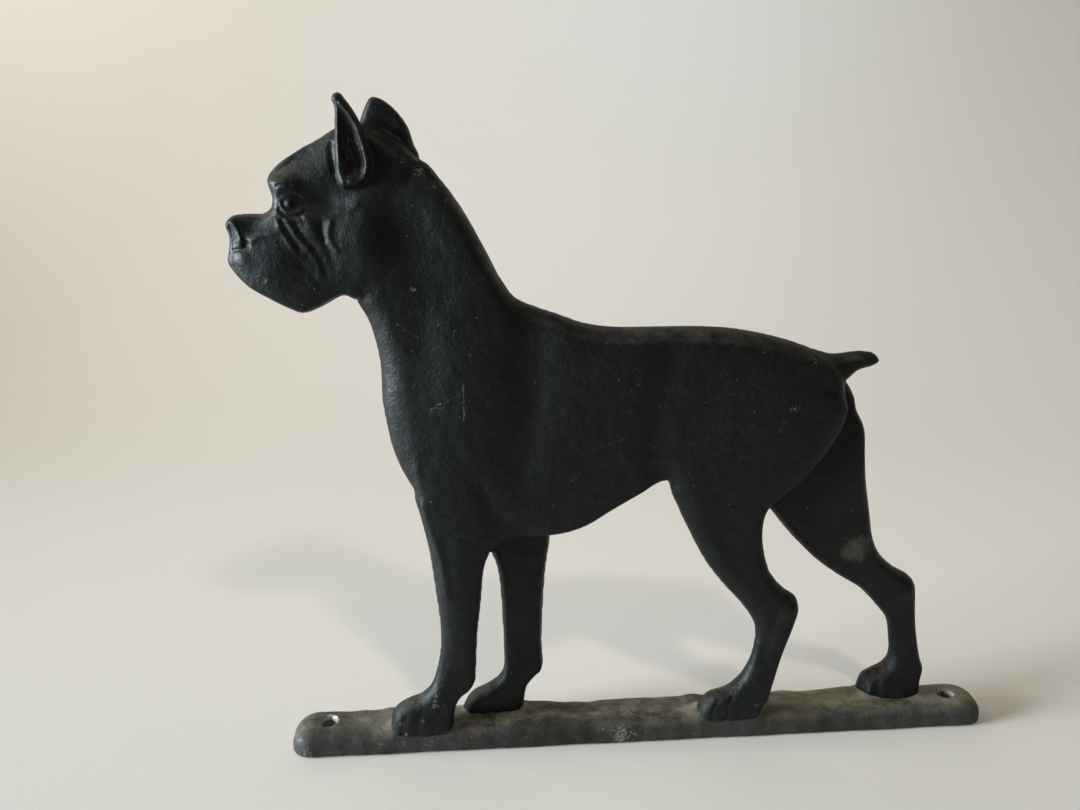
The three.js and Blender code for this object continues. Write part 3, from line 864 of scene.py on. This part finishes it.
def plankTop(x, y):
    # the cast top isn't flat: low swells, most of them towards the back edge
    top = np.full(x.shape, plank["height"])
    for at, reach, height in plank["swells"]:
        top += height * np.exp(-(((x - at) / reach) ** 2)) * (0.35 + 0.65 * np.clip((y + 6) / 12, 0, 1))
    high, reach = plank["collar"]
    for left, right, front, back in plank["paws"]:
        out = np.hypot(np.maximum(np.maximum(left - x, x - right), 0), np.maximum(np.maximum(front - y, y - back), 0))
        top += high * np.exp(-((out / reach) ** 2))
    ripple = 0.16 * np.sin(x * 0.21 + 1.3) * np.sin(y * 0.33 + x * 0.05)
    top += 0.25 * np.sin(x * 0.083 + 0.4) + ripple + 0.1 * np.sin(x * 0.47 + y * 0.3)
    return top


def plankField(points):
    x, y, z = points.T
    halfX, halfY = plank["length"] / 2, plank["depth"] / 2
    halfY = halfY + 0.22 * np.sin(x * 0.16 + 0.6) * np.sin(x * 0.043) + 0.1 * np.sin(x * 0.61)
    corner = np.where(y < 0, plank["frontCorner"], plank["rearCorner"] - 2.4)
    dx, dy = np.abs(x) - halfX + corner, np.abs(y) - halfY + corner
    plan = np.hypot(np.maximum(dx, 0), np.maximum(dy, 0)) + np.minimum(np.maximum(dx, dy), 0) - corner
    field = -softLeast(-plan, -(z - plankTop(x, y)), plank["shoulder"])
    return -softLeast(-field, z, plank["foot"])


def turnedCutter(name, profile, x, y):
    # spins half a profile of radius and height into a closed cutter
    bm = bmesh.new()
    rim = [bm.verts.new((x * mm + r * mm, y * mm, z * mm)) for r, z in profile]
    edges = [bm.edges.new(pair) for pair in zip(rim[:-1], rim[1:])]
    bmesh.ops.spin(bm, geom=rim + edges, cent=(x * mm, y * mm, 0), axis=(0, 0, 1),
                   angle=math.tau, steps=48, use_merge=True)
    bmesh.ops.remove_doubles(bm, verts=bm.verts[:], dist=1e-6)
    return meshObject(name, bm, False)


def cutAway(piece, cutters):
    for cutter in cutters:
        cut = piece.modifiers.new(cutter.name, "BOOLEAN")
        cut.operation, cut.solver, cut.object = "DIFFERENCE", "EXACT", cutter
    done = bpy.data.meshes.new_from_object(piece.evaluated_get(bpy.context.evaluated_depsgraph_get()))
    piece.modifiers.clear()
    piece.data = done
    for cutter in cutters:
        bpy.data.objects.remove(cutter)


def makePlank():
    bm = bmesh.new()
    bmesh.ops.create_cube(bm, size=1.0)
    for vertex in bm.verts:
        vertex.co.x *= plank["length"] * mm
        vertex.co.y *= plank["depth"] * mm
        vertex.co.z = (vertex.co.z + 0.5) * plank["height"] * mm
    bm = evenSkin(meshObject("plankRough", bm), plank["voxel"])
    for _ in range(3):
        place(bm, walk(coordinates(bm), plankField, 4, plank["stride"]))
        relax(bm, 0.5)
    place(bm, walk(coordinates(bm), plankField, 4, plank["stride"]))
    for vertex in bm.verts:
        vertex.co.z = max(vertex.co.z, 0.0)
    piece = meshObject("plank", bm)
    blank = bpy.data.objects.new("plankBlank", piece.data.copy())
    bpy.context.collection.objects.link(blank)
    piece.data.materials.append(plankPaint())
    metal = bareMetal()
    cutters = []
    for sign in (-1, 1):
        r, sink = plank["endHoleD"] / 2, plank["sinkD"] / 2
        level = plank["height"] - plank["sinkDepth"]
        top = plank["height"]
        profile = [(0, -2), (r, -2), (r, level), (sink, top), (sink + 2.5, top + 2.6), (0, top + 2.6)]
        cutters.append(turnedCutter("endHole", profile, sign * plank["endHoleX"], 0))
    for x, y in plank["screws"]:
        seat = [(0, -2), (4.1, -2), (4.1, 0.3), (2.3, 2.8), (2.3, 8.5), (0, 8.5)]
        cutters.append(turnedCutter("screwSeat", seat, x, y))
    for cutter in cutters:
        cutter.data.materials.append(metal)
    piece.data.materials.append(metal)
    cutAway(piece, cutters)
    addWear(piece)
    return piece, blank


def bareMetal():
    material, tree, shader = newMaterial("bareCasting")
    make, feed, noise, ramp, calc, mix, attribute, coords = nodeMaker(tree)
    colour = mix(ramp(noise(700.0, 4.0, 0.6), 0.35, 0.65), plankLook["metalDull"], plankLook["metalBright"])
    tree.links.new(colour, shader.inputs["Base Color"])
    shader.inputs["Metallic"].default_value = 0.4
    tree.links.new(ramp(noise(500.0, 3.0, 0.6), 0.3, 0.7, 0.5, 0.75), shader.inputs["Roughness"])
    return material


plankLook = {
    "black": (0.013, 0.014, 0.013),
    "blackWorn": (0.027, 0.028, 0.0245),
    # olive brown for dust and for painted top light on the plank's top
    "dustAndTopLight": (0.225, 0.205, 0.140),
    "metalDull": (0.14, 0.138, 0.125),
    "metalBright": (0.40, 0.395, 0.37),
}


def plankPaint():
    material, tree, shader = newMaterial("dustAndTopLightBlackPaint")
    make, feed, noise, ramp, calc, mix, attribute, coords = nodeMaker(tree)
    up = ramp(attribute("facingUp"), 0.25, 0.97)
    cloud = ramp(noise(48.0, 6.0, 0.68, (0.5, 1.0, 1.0)), 0.42, 0.58)
    blotch = ramp(noise(170.0, 6.0, 0.72, (0.6, 1.0, 1.0)), 0.42, 0.60)
    fine = noise(800.0, 4.0, 0.65)
    hollow = ramp(attribute("bend"), -0.01, -0.16)
    colour = mix(cloud, plankLook["black"], plankLook["blackWorn"])
    # the top gets an olive-brown mix: partly dust, partly painted top light; it is weaker towards the front edge of
    # the top and towards the left end
    dustAndTopLight = calc("MULTIPLY", up, calc("ADD", 0.16, calc("MULTIPLY", calc("ADD", cloud, blotch), 0.42)))
    split = make("SeparateXYZ")
    tree.links.new(coords.outputs["Object"], split.inputs[0])
    back = calc("ADD", split.outputs["Y"], calc("MULTIPLY", noise(90.0, 4.0, 0.6), 0.008))
    dustAndTopLight = calc("MULTIPLY", dustAndTopLight, ramp(back, -0.0045, 0.0005, 0.32, 1.0))
    dustAndTopLight = calc("ADD", dustAndTopLight, calc("MULTIPLY", calc("MULTIPLY", ramp(fine, 0.4, 0.8), blotch), 0.14))
    dustAndTopLight = calc("ADD", dustAndTopLight, calc("MULTIPLY", hollow, 0.35))
    dustAndTopLight = calc("MULTIPLY", dustAndTopLight, ramp(split.outputs["X"], -0.135, -0.085, 0.55, 1.0))
    colour = mix(calc("MINIMUM", dustAndTopLight, 0.95), colour, plankLook["dustAndTopLight"])
    dots = calc("MULTIPLY", specks(make, tree, coords, 520.0, 0.2, 0.10, ramp, calc), 0.4)
    worn = attribute("worn")
    chipsAndGlint = calc("ADD", calc("MULTIPLY", worn, 0.32), noise(1100.0, 5.0, 0.7))
    flakedAndGlint = calc("MULTIPLY", ramp(chipsAndGlint, 0.74, 0.86), ramp(worn, 0.12, 0.5))
    colour = mix(calc("MAXIMUM", dots, calc("MULTIPLY", flakedAndGlint, 0.6)), colour, paint["bare"])
    tree.links.new(colour, shader.inputs["Base Color"])
    tree.links.new(ramp(fine, 0.3, 0.7, 0.5, 0.75), shader.inputs["Roughness"])
    shader.inputs["Specular IOR Level"].default_value = 0.4
    lumps = make("Bump")
    lumps.inputs["Distance"].default_value = 0.0008
    tree.links.new(noise(110.0, 5.0, 0.6), lumps.inputs["Height"])
    grain = make("Bump")
    grain.inputs["Distance"].default_value = 0.00012
    tree.links.new(noise(1100.0, 4.0, 0.65), grain.inputs["Height"])
    tree.links.new(lumps.outputs[0], grain.inputs["Normal"])
    tree.links.new(grain.outputs[0], shader.inputs["Normal"])
    return material


plankPiece, plankBlank = makePlank()
print("plank:", sum(p.loop_total - 2 for p in plankPiece.data.polygons), "triangles")
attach(plankPiece, "root")
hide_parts("base_plank")

# The soles take the plank's own surface, and each paw has a blind bore for its screw.
bores = [turnedCutter("soleBore", [(0, 0), (2.3, 0), (2.3, 18.8), (0, 19.3)], x, y) for x, y in plank["screws"]]
cutAway(houndPiece, [plankBlank, *bores])
addWear(houndPiece)
houndPiece.data.materials.clear()
houndPiece.data.materials.append(blackPaint())
print("hound:", sum(p.loop_total - 2 for p in houndPiece.data.polygons), "triangles")
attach(houndPiece, "root")
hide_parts("dog_figure")

# ---------------------------------------------------------------- the foot screws

screw = {
    "headD": 7.6, "headH": 2.2, "shankD": 4.0, "faceZ": 0.3, "tipZ": 19.0,
    "slotWidth": 1.0, "slotDepth": 0.9, "edge": 0.15,
    "dull": (0.34, 0.34, 0.33), "bright": (0.56, 0.56, 0.55),
    "names": ("foot_screw_front_near", "foot_screw_front_far", "foot_screw_hind_near", "foot_screw_hind_far"),
}


def screwSteel():
    material, tree, shader = newMaterial("zincedSteel")
    make, feed, noise, ramp, calc, mix, attribute, coords = nodeMaker(tree)
    colour = mix(ramp(noise(420.0, 4.0, 0.6), 0.35, 0.65), screw["dull"], screw["bright"])
    tree.links.new(colour, shader.inputs["Base Color"])
    tree.links.new(ramp(noise(900.0, 3.0, 0.6), 0.3, 0.7, 0.26, 0.46), shader.inputs["Roughness"])
    shader.inputs["Metallic"].default_value = 1.0
    return material


def makeScrew(name, x, y, steel):
    face, neck, tip = screw["faceZ"], screw["faceZ"] + screw["headH"], screw["tipZ"]
    head, shank, edge = screw["headD"] / 2, screw["shankD"] / 2, screw["edge"]
    profile = [(0, face), (head - edge, face), (head, face + edge), (head, face + 2 * edge), (shank, neck),
               (shank, tip - 0.6), (shank - 0.6, tip), (0, tip)]
    piece = turnedCutter(name + "_shape", profile, x, y)
    bm = bmesh.new()
    bmesh.ops.create_cube(bm, size=1.0)
    for vertex in bm.verts:
        vertex.co.x = x * mm + vertex.co.x * 2 * screw["headD"] * mm
        vertex.co.y = y * mm + vertex.co.y * screw["slotWidth"] * mm
        vertex.co.z = face * mm + vertex.co.z * 2 * screw["slotDepth"] * mm
    cutAway(piece, [meshObject("slotCutter", bm, False)])
    piece.data.materials.clear()
    piece.data.materials.append(steel)
    for polygon in piece.data.polygons:
        polygon.use_smooth = False
    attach(piece, "root")
    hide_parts(name)


steel = screwSteel()
for name, (x, y) in zip(screw["names"], plank["screws"]):
    makeScrew(name, x, y, steel)
print("screws made")
